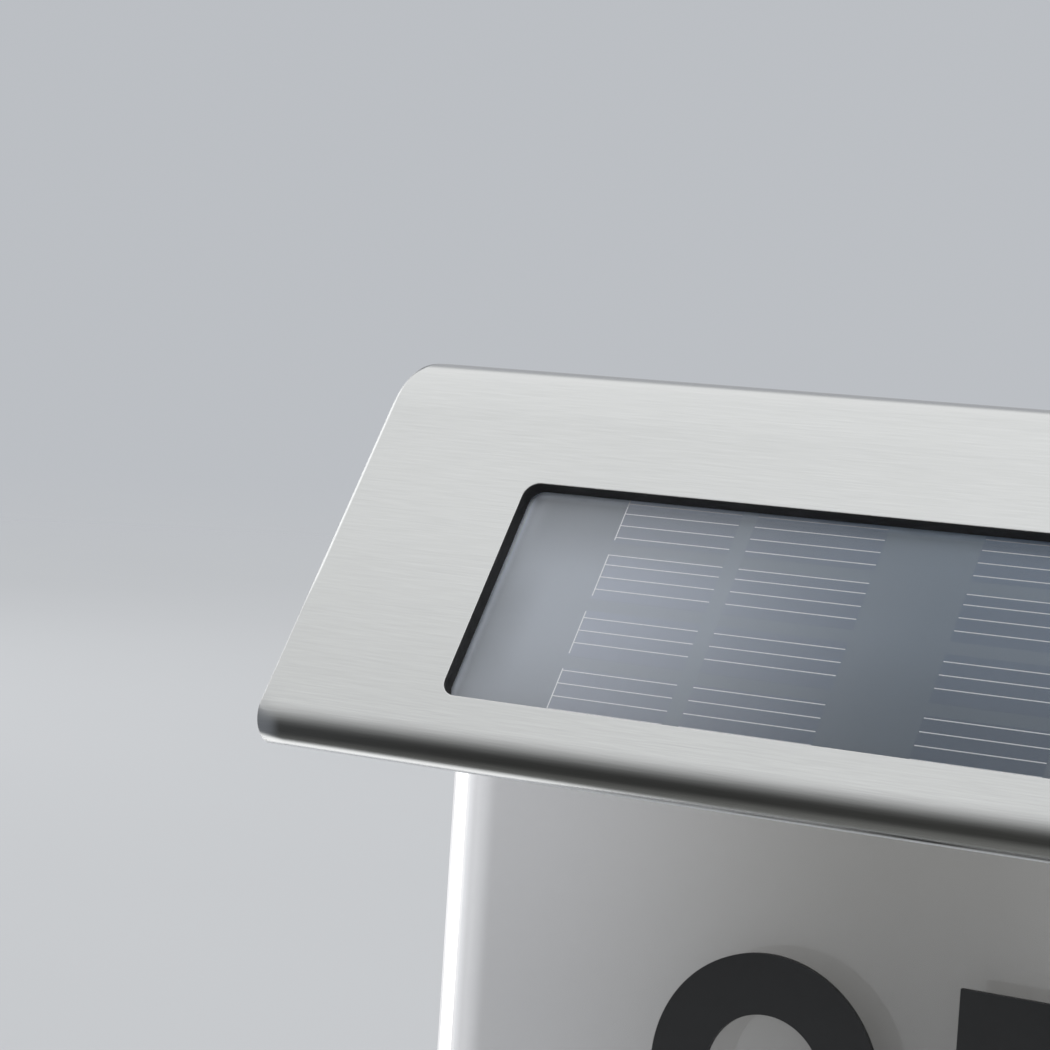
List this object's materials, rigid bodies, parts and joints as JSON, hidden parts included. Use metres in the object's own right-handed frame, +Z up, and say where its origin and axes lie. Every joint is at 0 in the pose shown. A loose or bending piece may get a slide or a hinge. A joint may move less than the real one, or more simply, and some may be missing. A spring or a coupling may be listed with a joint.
{
  "type": "solar house number light",
  "caption": "Wall-hung bent steel hood with a solar panel in its sloping roof and an edge-lit number plate below it.",
  "frame": {"origin": "on the wall plane, at the back face of the wall bracket, midway between its two slots", "axes": "+X to the right as seen by someone who reads the number, +Y into the wall, +Z up"},
  "size_m": [0.233, 0.0597, 0.1961],
  "materials": {
    "bracket_steel": "plain rolled stainless sheet",
    "brushed_steel": "stainless sheet, brushed along its width",
    "black_rubber": "matt black rubber",
    "panel_glass": "clear, smooth",
    "solar_cell": "dark blue-grey silicon with fine silver lines",
    "cell_ribbon": "tinned, satin",
    "panel_backing": "dark grey board",
    "black_plastic": "fine moulded grain",
    "green_board": "green solder mask",
    "black_chip": "moulded, matt",
    "coil_core": "dark ferrite",
    "capacitor_can": "bright drawn can",
    "white_board": "white solder mask",
    "light_chip": "pale yellow resin",
    "grey_plastic": "fine moulded grain",
    "spring_steel": "nickel plated",
    "battery_sleeve": "plain shrunk sleeve",
    "red_wire": "plastic insulation",
    "black_wire": "plastic insulation",
    "white_wire": "plastic insulation",
    "blue_wire": "plastic insulation",
    "clear_acrylic": "clear acrylic with a satin front",
    "grey_plate": "even mid grey",
    "numeral": "satin black",
    "screw_steel": "bright stainless"
  },
  "bodies": {
    "wall_bracket": {"wall_bracket": "bracket_steel"},
    "lamp": {"hood": "brushed_steel", "left_cheek": "brushed_steel", "right_cheek": "brushed_steel", "window_gasket": "black_rubber", "panel_glass": "panel_glass", "solar_cells": "solar_cell", "cell_ribbons": "cell_ribbon", "panel_backing": "panel_backing", "panel_tray": "black_plastic", "housing_seal": "black_rubber", "base_housing": "black_plastic", "control_board": "green_board", "control_chip": "black_chip", "charge_coil": "coil_core", "smoothing_capacitor": "capacitor_can", "led_board": "white_board", "led_chips": "light_chip", "switch_body": "black_plastic", "positive_contact": "spring_steel", "spring_contact": "spring_steel", "battery_left": "battery_sleeve", "battery_right": "battery_sleeve", "panel_wire": "red_wire", "battery_wires": "black_wire", "led_wire": "white_wire", "switch_wire": "blue_wire", "number_plate": "clear_acrylic", "back_plate": "grey_plate", "tens_numeral": "numeral", "units_numeral": "numeral", "wall_bumpers": "black_rubber", "plate_screws": "screw_steel", "hood_screws": "screw_steel", "housing_screws": "screw_steel"},
    "switch_slider": {"switch_slider": "grey_plastic"},
    "battery_door": {"battery_door": "black_plastic", "door_seal": "black_rubber", "door_screw": "screw_steel"}
  },
  "joints": [
    {"name": "lift_off", "type": "slide", "parent": "wall_bracket", "child": "lamp", "axis": [0, 0, 1], "range_m": [0, 0.008]},
    {"name": "switch_slide", "type": "slide", "parent": "lamp", "child": "switch_slider", "axis": [1, 0, 0], "range_m": [0, 0.003]},
    {"name": "door_hinge", "type": "hinge", "parent": "lamp", "child": "battery_door", "pos_m": [0, -0.022, -0.03062], "axis": [1, 0, 0], "range_deg": [0, 85]}
  ]
}
